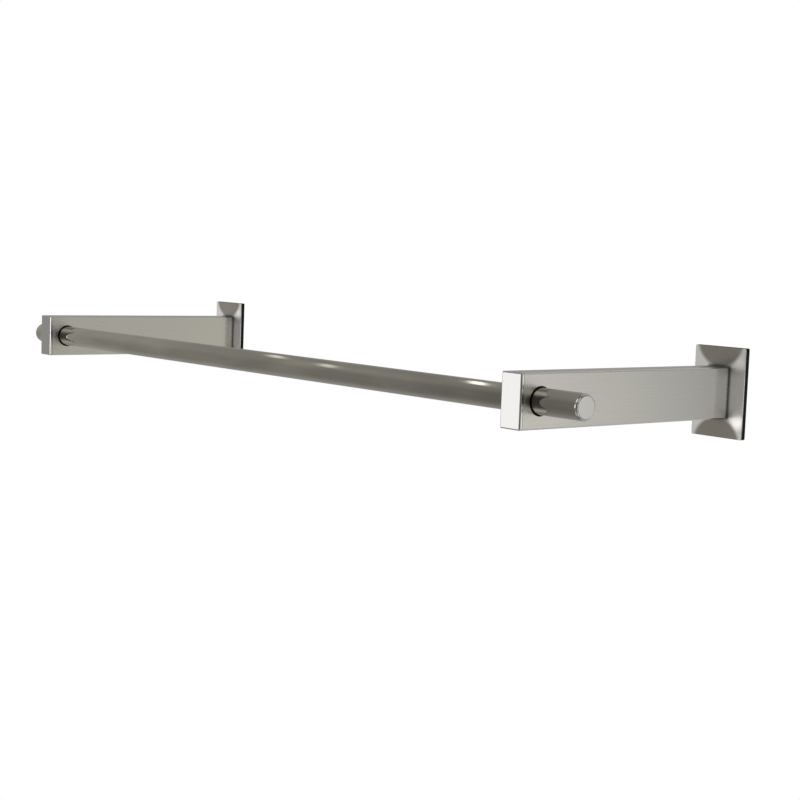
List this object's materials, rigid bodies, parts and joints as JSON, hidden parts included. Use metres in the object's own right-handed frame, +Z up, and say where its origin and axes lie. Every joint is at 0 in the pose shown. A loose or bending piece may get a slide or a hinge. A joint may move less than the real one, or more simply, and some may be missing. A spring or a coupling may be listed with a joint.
{
  "type": "wall mounted clothes valet",
  "caption": "Wall valet for clothes: flat steel arms stand off small wall plates and carry a round rail that passes through them and ends in a peg on each side.",
  "frame": {"origin": "on the wall plane, midway between the arms, at the arms' mid height", "axes": "+X along the rail to the right as seen from the room, +Y into the wall, +Z up"},
  "size_m": [1.0255, 0.2948, 0.092],
  "materials": {
    "arm_steel": "satin",
    "plate_steel": "polished satin",
    "cap_steel": "satin",
    "rail_steel": "polished",
    "black_coating": "matt black",
    "black_nylon": "moulded",
    "spigot_aluminium": "milled",
    "screw_steel": "zinc plated"
  },
  "bodies": {
    "root": {"rail": "rail_steel", "arm_tube_left": "arm_steel", "front_block_left": "arm_steel", "rail_sleeve_left": "black_nylon", "rail_lock_screw_left": "screw_steel", "face_plate_left": "plate_steel", "wall_bracket_left": "black_coating", "spigot_left": "spigot_aluminium", "spigot_screw_upper_left": "screw_steel", "spigot_screw_lower_left": "screw_steel", "arm_screw_rear_left": "screw_steel", "arm_screw_fore_left": "screw_steel", "end_cap_left": "cap_steel", "arm_tube_right": "arm_steel", "front_block_right": "arm_steel", "rail_sleeve_right": "black_nylon", "rail_lock_screw_right": "screw_steel", "face_plate_right": "plate_steel", "wall_bracket_right": "black_coating", "spigot_right": "spigot_aluminium", "spigot_screw_upper_right": "screw_steel", "spigot_screw_lower_right": "screw_steel", "arm_screw_rear_right": "screw_steel", "arm_screw_fore_right": "screw_steel", "end_cap_right": "cap_steel"}
  },
  "joints": []
}
